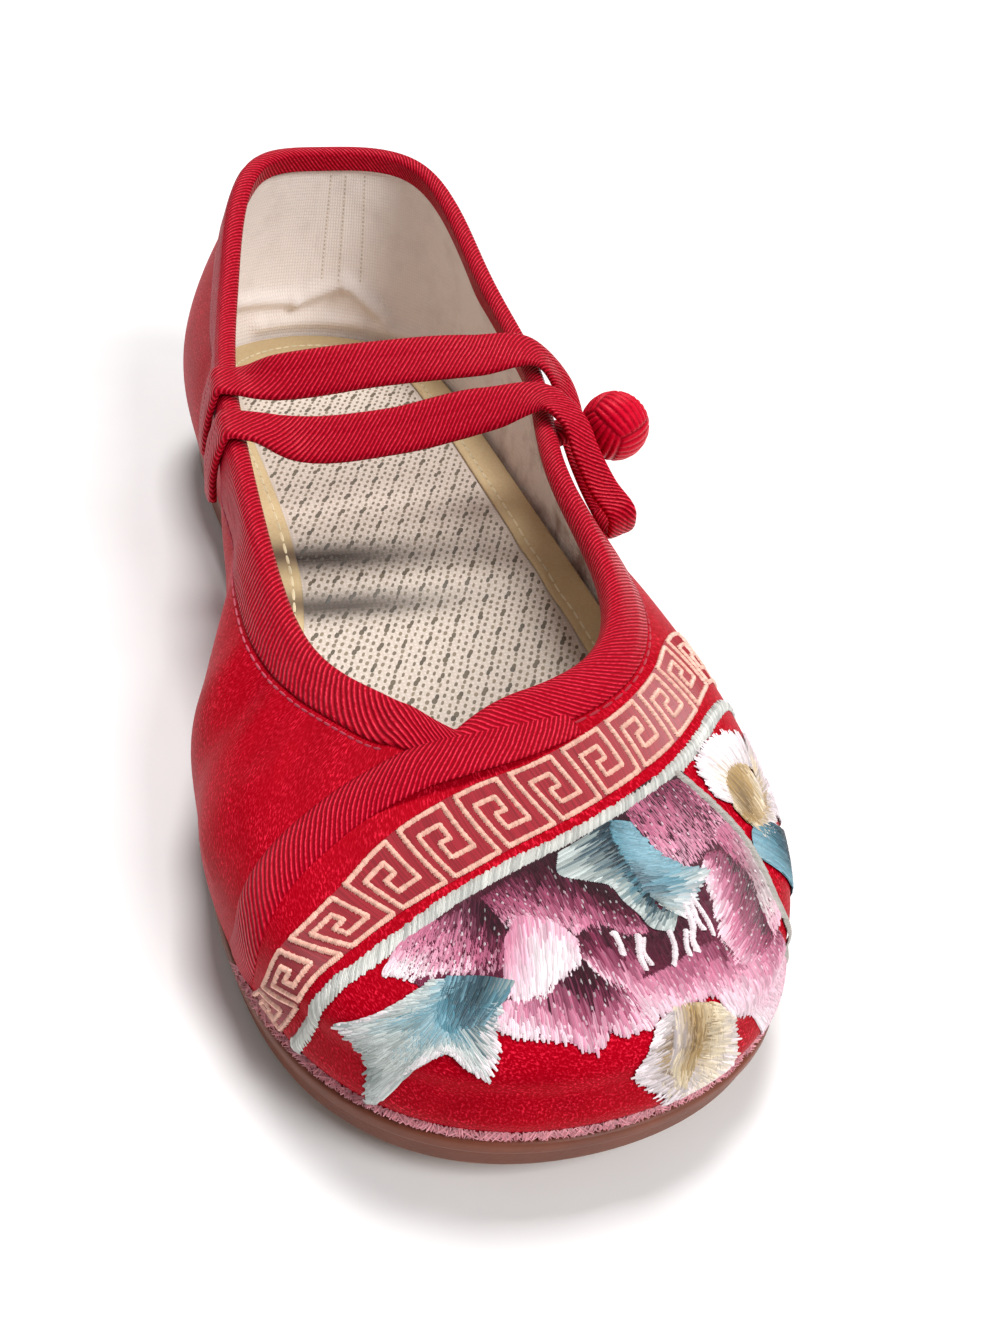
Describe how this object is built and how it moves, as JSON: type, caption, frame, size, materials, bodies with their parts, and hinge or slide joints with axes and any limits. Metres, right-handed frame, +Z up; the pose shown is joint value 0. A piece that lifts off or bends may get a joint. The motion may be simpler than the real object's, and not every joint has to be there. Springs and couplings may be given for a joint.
{
  "type": "mary jane flat",
  "caption": "Satin cloth flat with a closed embroidered toe, open collar, doubled button strap hooked over a ball knot, and a low gum-rubber sole; a left shoe.",
  "frame": {"origin": "on the floor plane under the flat forefoot of the sole, at about the middle of the shoe's length and of the ball's width", "axes": "+Z up, -Y towards the toe, +X towards the outer (lateral) side"},
  "size_m": [0.0986, 0.2326, 0.0646],
  "materials": {
    "gum_rubber": "satin",
    "red_satin": "satin",
    "insole_weave": "matte",
    "tan_tape": "matte",
    "red_twill": "satin",
    "red_cord": "satin"
  },
  "bodies": {
    "root": {"outsole": "gum_rubber", "upper": "red_satin", "insole": "insole_weave", "insole_tape": "tan_tape", "collar_binding": "red_twill", "vamp_tape": "red_twill", "button_strap": "red_twill", "button_stem": "red_twill", "knot_button": "red_cord"}
  },
  "joints": []
}
